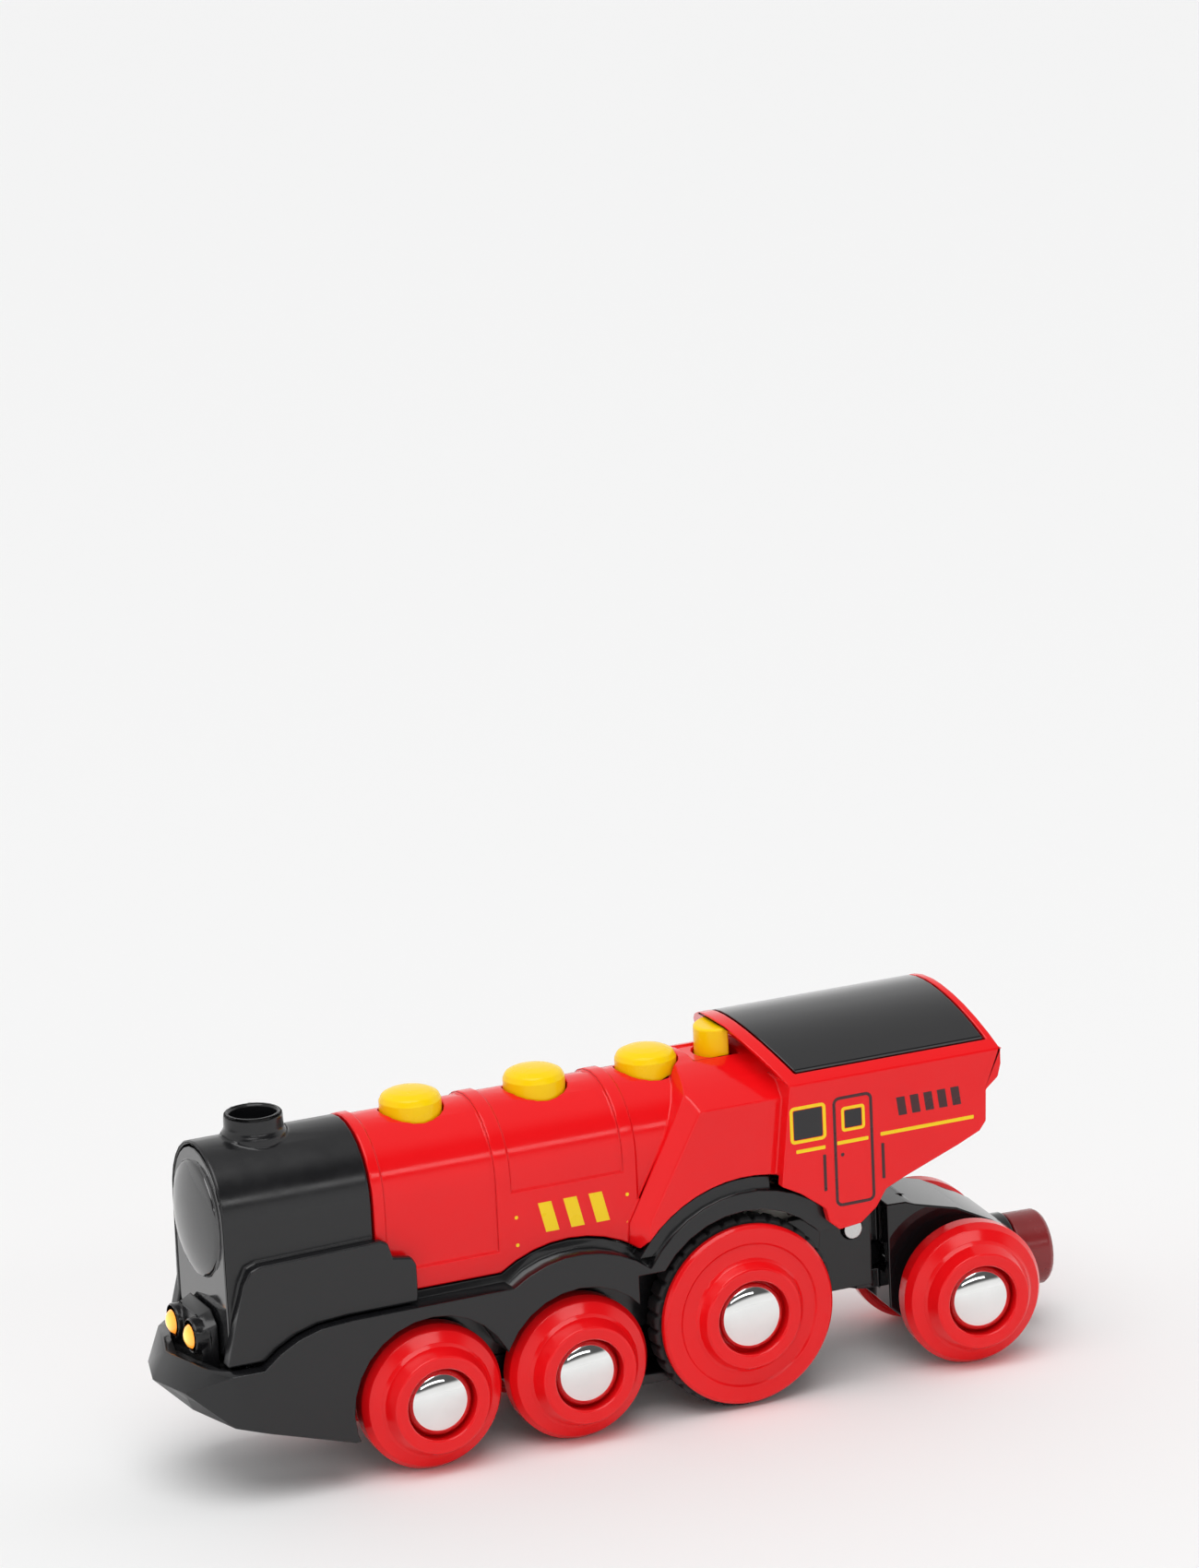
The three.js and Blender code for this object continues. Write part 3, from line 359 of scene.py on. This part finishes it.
def add_turned(name, profile, matrix, node, sides=96, shape=None):
    piece = finish_piece(name, turned(profile, matrix, sides, shape), BODY_OF[node], SLOT_OF[node])
    weigh_normals(piece)
    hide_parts(node)
    return piece


for wheelset in ("front", "middle", "rear"):
    for side, place in wheel_sides(wheelset + "_wheels_spin"):
        add_turned(f"{wheelset}_{side}_wheel_skin", WHEEL, place, f"{wheelset}_wheel_{side}")
        add_turned(f"{wheelset}_{side}_cap_skin", cap_profile(5.5, 2.4), place, f"{wheelset}_cap_{side}")

RIBS = 36
RIB_DEPTH = 0.5
TREAD_FROM_R = 14.5
GAP_PHASE = 0.8  # where the gap between two blocks lies in a rib's share of the turn


def rib(radius, height, angle):
    """Tread blocks: the tyre's radius drops in a narrow gap once in every rib's share of the turn."""
    if radius < TREAD_FROM_R:
        return radius
    phase = (angle * RIBS / (2 * math.pi)) % 1
    from_gap = abs(phase - GAP_PHASE)
    fullness = max(0.0, min(1.0, (from_gap - 0.08) / 0.09)) if from_gap < 0.2 else 1.0
    return radius - RIB_DEPTH * (1 - fullness)


TYRE = filleted([
    (13.7, 10.1), (15.5, 10.1), (15.9, 10.5), (15.9, 13.5), (15.5, 13.9), (13.7, 13.9), (13.7, 10.1),
], 0.3)
for side, place in wheel_sides("drive_wheels_spin"):
    add_turned(f"drive_{side}_wheel_skin", DRIVE_WHEEL, place, f"drive_wheel_{side}", 120)
    add_turned(f"drive_{side}_cap_skin", cap_profile(5.6, 2.1), place, f"drive_cap_{side}")
    add_turned(f"drive_{side}_tyre_skin", TYRE, place, f"drive_tyre_{side}", RIBS * 14, rib)

# ---------------------------------------------------------------- buttons
BUTTON = filleted([
    (0, 51.7), (5.8, 51.7), (5.8, 52.5), (5, 52.5), (5, 57.0),
    (4.55, 57.95), (3.4, 58.5), (1.8, 58.8), (0, 58.9),
], [0, 0.1, 0.1, 0.2, 0.3, 0.9, 2, 4, 0], 6)
for which in ("front", "middle", "rear"):
    low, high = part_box(f"button_{which}")
    place = axis_matrix(((low.x + high.x) / 2, (low.y + high.y) / 2, 0), (0, 0, 1), (0, 1, 0))
    add_turned(f"button_{which}_skin", BUTTON, place, f"button_{which}")

# ---------------------------------------------------------------- moulded shells
# The node and how wide its edges are rounded, in mm; 0 leaves that to the material.
SHELLS = {
    "body_shell": 0.3,
    "smokebox_shell": 0.4,
    "chassis": 0,
    "front_plate": 0.25,
    "roof_panel": 0.2,
    "lamp_housing": 0.25,
    "battery_cover": 0.3,
    "truck_frame": 0.3,
    "swivel_link": 0.3,
    "button_stop": 0.4,
    "cross_pin": 0.2,
    "coupling_cup": 0.3,
    "coupling_magnet": 0.2,
    "cover_screw": 0.08,
    "swivel_screw": 0.08,
    "body_screw_front": 0.08,
    "lamp_lens_left": 0.15,
    "lamp_lens_right": 0.15,
    "axle_gear": 0.06,
    "compound_gear": 0.06,
    "motor_pinion": 0.05,
    "motor": 0.2,
}
for node, width in SHELLS.items():
    refined(node, width)
TRUCK_BLACK = moulded("truck_black", (0.008, 0.008, 0.009), 0.07, 0.01)
bpy.data.objects["truck_frame_skin"].data.materials[0] = TRUCK_BLACK
PLATE_BLACK = moulded("plate_black", (0.01, 0.01, 0.011), 0.08, 0.03, 0.0001, ior=2.0)
bpy.data.objects["front_plate_skin"].data.materials[0] = PLATE_BLACK
for node, cad in NODES.items():
    if not cad.hide_render:
        cad.data.materials.clear()
        cad.data.materials.append(MATERIALS[SLOT_OF[node]])

# ---------------------------------------------------------------- printed decoration
CAB_Y = 17.4
BOILER_Y = 11.75
INK_LIFT = 0.004  # the ink's two faces stand this far and INK_THICK off the plastic, in mm
INK_THICK = 0.02


def outline_rounded(x0, x1, z0, z1, radius, steps=6):
    points = []
    for cx, cz, start in ((x1, z1, 0), (x0, z1, 90), (x0, z0, 180), (x1, z0, 270)):
        ox = cx - math.copysign(radius, cx - (x0 + x1) / 2)
        oz = cz - math.copysign(radius, cz - (z0 + z1) / 2)
        for k in range(steps + 1):
            a = math.radians(start + 90 * k / steps)
            points.append((ox + radius * math.cos(a), oz + radius * math.sin(a)))
    return points


def print_on(name, y_mm, loops, ink):
    """Ink of a hair's thickness on both flanks; loops are an outer outline and perhaps an inner one."""
    for side, sign in (("left", 1), ("right", -1)):
        work = bmesh.new()
        layers = []
        for level in (INK_LIFT, INK_THICK):
            y = sign * (y_mm + level) * MM
            layers.append([[work.verts.new((x * MM, y, z * MM)) for x, z in loop] for loop in loops])
        for loop_low, loop_high in zip(*layers):
            count = len(loop_low)
            for k in range(count):
                n = (k + 1) % count
                work.faces.new((loop_low[k], loop_low[n], loop_high[n], loop_high[k]))
        for layer in layers:
            if len(layer) == 1:
                work.faces.new(layer[0])
            else:
                outer, inner = layer
                for k in range(len(outer)):
                    n = (k + 1) % len(outer)
                    work.faces.new((outer[k], outer[n], inner[n], inner[k]))
        bmesh.ops.recalc_face_normals(work, faces=work.faces)
        mesh = bpy.data.meshes.new(name)
        work.to_mesh(mesh)
        work.free()
        mesh.materials.append(INK[ink])
        piece = bpy.data.objects.new(f"{name}_{side}", mesh)
        bpy.context.scene.collection.objects.link(piece)
        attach(piece, "frame")


def disc(x, z, radius):
    angles = [a * math.pi / 8 for a in range(16)]
    return [(x + radius * math.cos(a), z + radius * math.sin(a)) for a in angles]


def frame_print(name, x0, x1, z0, z1, radius, line, ink):
    outer = outline_rounded(x0, x1, z0, z1, radius)
    inner = outline_rounded(x0 + line, x1 - line, z0 + line, z1 - line, max(0.05, radius - line))
    print_on(name, CAB_Y, [outer, inner], ink)


def bar_print(name, y_mm, x0, x1, z0, z1, ink, radius=0.15):
    print_on(name, y_mm, [outline_rounded(x0, x1, z0, z1, radius)], ink)


frame_print("window_frame", -14.75, -8.35, 43.8, 50.0, 0.8, 0.55, "yellow")
bar_print("window_pane", CAB_Y, -14.1, -9.0, 44.45, 49.35, "black", 0.35)
bar_print("window_sill", CAB_Y, -14.5, -9.3, 42.15, 42.75, "yellow")
frame_print("door_outline", -23.1, -16.0, 31.9, 50.4, 1.2, 0.52, "dark")
frame_print("door_window_frame", -21.7, -17.5, 44.4, 48.55, 0.6, 0.5, "yellow")
bar_print("door_window_pane", CAB_Y, -21.1, -18.1, 45.0, 47.95, "black", 0.3)
bar_print("door_rail", CAB_Y, -22.2, -16.6, 42.35, 42.95, "yellow")
print_on("door_knob", CAB_Y, [disc(-17.5, 40.6, 0.32)], "dark")
bar_print("tail_rail", CAB_Y, -41.3, -24.4, 42.55, 43.15, "yellow")
bar_print("hand_rail_front", CAB_Y, -14.55, -14.0, 35.0, 41.2, "dark")
bar_print("hand_rail_rear", CAB_Y, -25.0, -24.45, 35.3, 41.3, "dark")
for i in range(5):
    left = -27.4 - 2.45 * i
    slat = [(left, 48.5), (left - 1.5, 48.5), (left - 1.9, 45.4), (left - 0.4, 45.4)]
    print_on(f"louvre_{i}", CAB_Y, [slat], "dark")
for i in range(3):
    left = 33.6 - 4.4 * i
    slash = [(left, 40), (left - 2.3, 40), (left - 3.5, 35), (left - 1.2, 35)]
    print_on(f"flash_{i}", BOILER_Y, [slash], "yellow")
for i, (x, z) in enumerate(((37.4, 38.3), (37.4, 33.7), (18.1, 38.7), (18.1, 34.0))):
    print_on(f"dot_{i}", BOILER_Y, [disc(x, z, 0.3)], "yellow")

# ---------------------------------------------------------------- studio
bpy.ops.mesh.primitive_plane_add(size=24, location=(0, 0, 0))
floor = bpy.context.object
floor.name = "floor"
paper = Shader("studio_paper", (0.88, 0.88, 0.88), 0.9)
paper.bump(paper.noise(1.5, 2.0), 0.01)
floor.data.materials.append(paper.material)

world = bpy.data.worlds.new("studio")
bpy.context.scene.world = world
world.use_nodes = True
world_nodes, world_links = world.node_tree.nodes, world.node_tree.links
background = world_nodes["Background"]
background.inputs["Strength"].default_value = 1.0
direction = world_nodes.new("ShaderNodeTexCoord").outputs["Generated"]
split = world_nodes.new("ShaderNodeSeparateXYZ")
world_links.new(direction, split.inputs["Vector"])


def gray_ramp(value, stops):
    ramp = world_nodes.new("ShaderNodeValToRGB")
    ramp.color_ramp.interpolation = "EASE"
    while len(ramp.color_ramp.elements) < len(stops):
        ramp.color_ramp.elements.new(0.5)
    for element, (position, gray) in zip(ramp.color_ramp.elements, stops):
        element.position = position
        element.color = (gray, gray, gray, 1)
    world_links.new(value, ramp.inputs["Fac"])
    return ramp.outputs["Color"]


# A pale tent: bright low backdrop all round, dim higher up on the camera's side, a grey ceiling.
NEAR_STOPS = [(0, 1.0), (0.2, 0.9), (0.33, 0.1), (0.7, 0.1), (0.88, 0.4), (1, 0.5)]
FAR_STOPS = [(0, 1.0), (0.5, 0.8), (1, 0.55)]
near_sky = gray_ramp(split.outputs["Z"], NEAR_STOPS)
far_sky = gray_ramp(split.outputs["Z"], FAR_STOPS)
near_side = gray_ramp(split.outputs["Y"], [(0.15, 0), (0.5, 1)])
tent = world_nodes.new("ShaderNodeMix")
tent.data_type = "RGBA"
world_links.new(near_side, tent.inputs[0])
world_links.new(far_sky, tent.inputs[6])
world_links.new(near_sky, tent.inputs[7])
world_links.new(tent.outputs[2], background.inputs["Color"])


def aim(holder, location, target):
    holder.location = location
    holder.rotation_mode = "QUATERNION"
    holder.rotation_quaternion = (Vector(target) - Vector(location)).to_track_quat("-Z", "Y")


sun_data = bpy.data.lights.new("key", "SUN")
sun_data.energy = 1.55
sun_data.angle = math.radians(50)
sun = bpy.data.objects.new("key", sun_data)
bpy.context.scene.collection.objects.link(sun)
aim(sun, (0.35, 0.5, 1.7), (0, 0, 0))

strip_data = bpy.data.lights.new("strip", "AREA")
strip_data.shape = "RECTANGLE"
strip_data.size = 1.2
strip_data.size_y = 0.12
strip_data.energy = 1.5
strip = bpy.data.objects.new("strip", strip_data)
bpy.context.scene.collection.objects.link(strip)
aim(strip, (0.1, 1.0, 0.57), (0.02, 0, 0.03))

CAMERA_AT = (0.387004, 0.857979, 0.353159)
CAMERA_RIGHT = (-0.91128, 0.40920, -0.04616)
CAMERA_AHEAD = (-0.38484, -0.88615, -0.25812)
camera_data = bpy.data.cameras.new("camera")
camera_data.lens = 140.18
camera_data.sensor_width = 36
camera_data.clip_start = 0.01
camera_data.clip_end = 100
camera = bpy.data.objects.new("camera", camera_data)
bpy.context.scene.collection.objects.link(camera)
right = Vector(CAMERA_RIGHT).normalized()
ahead = Vector(CAMERA_AHEAD).normalized()
above = right.cross(ahead)
turn = Matrix((right, above, -ahead)).transposed().to_4x4()
turn.translation = Vector(CAMERA_AT)
camera.matrix_world = turn
bpy.context.scene.camera = camera
bpy.context.scene.view_settings.view_transform = "Standard"
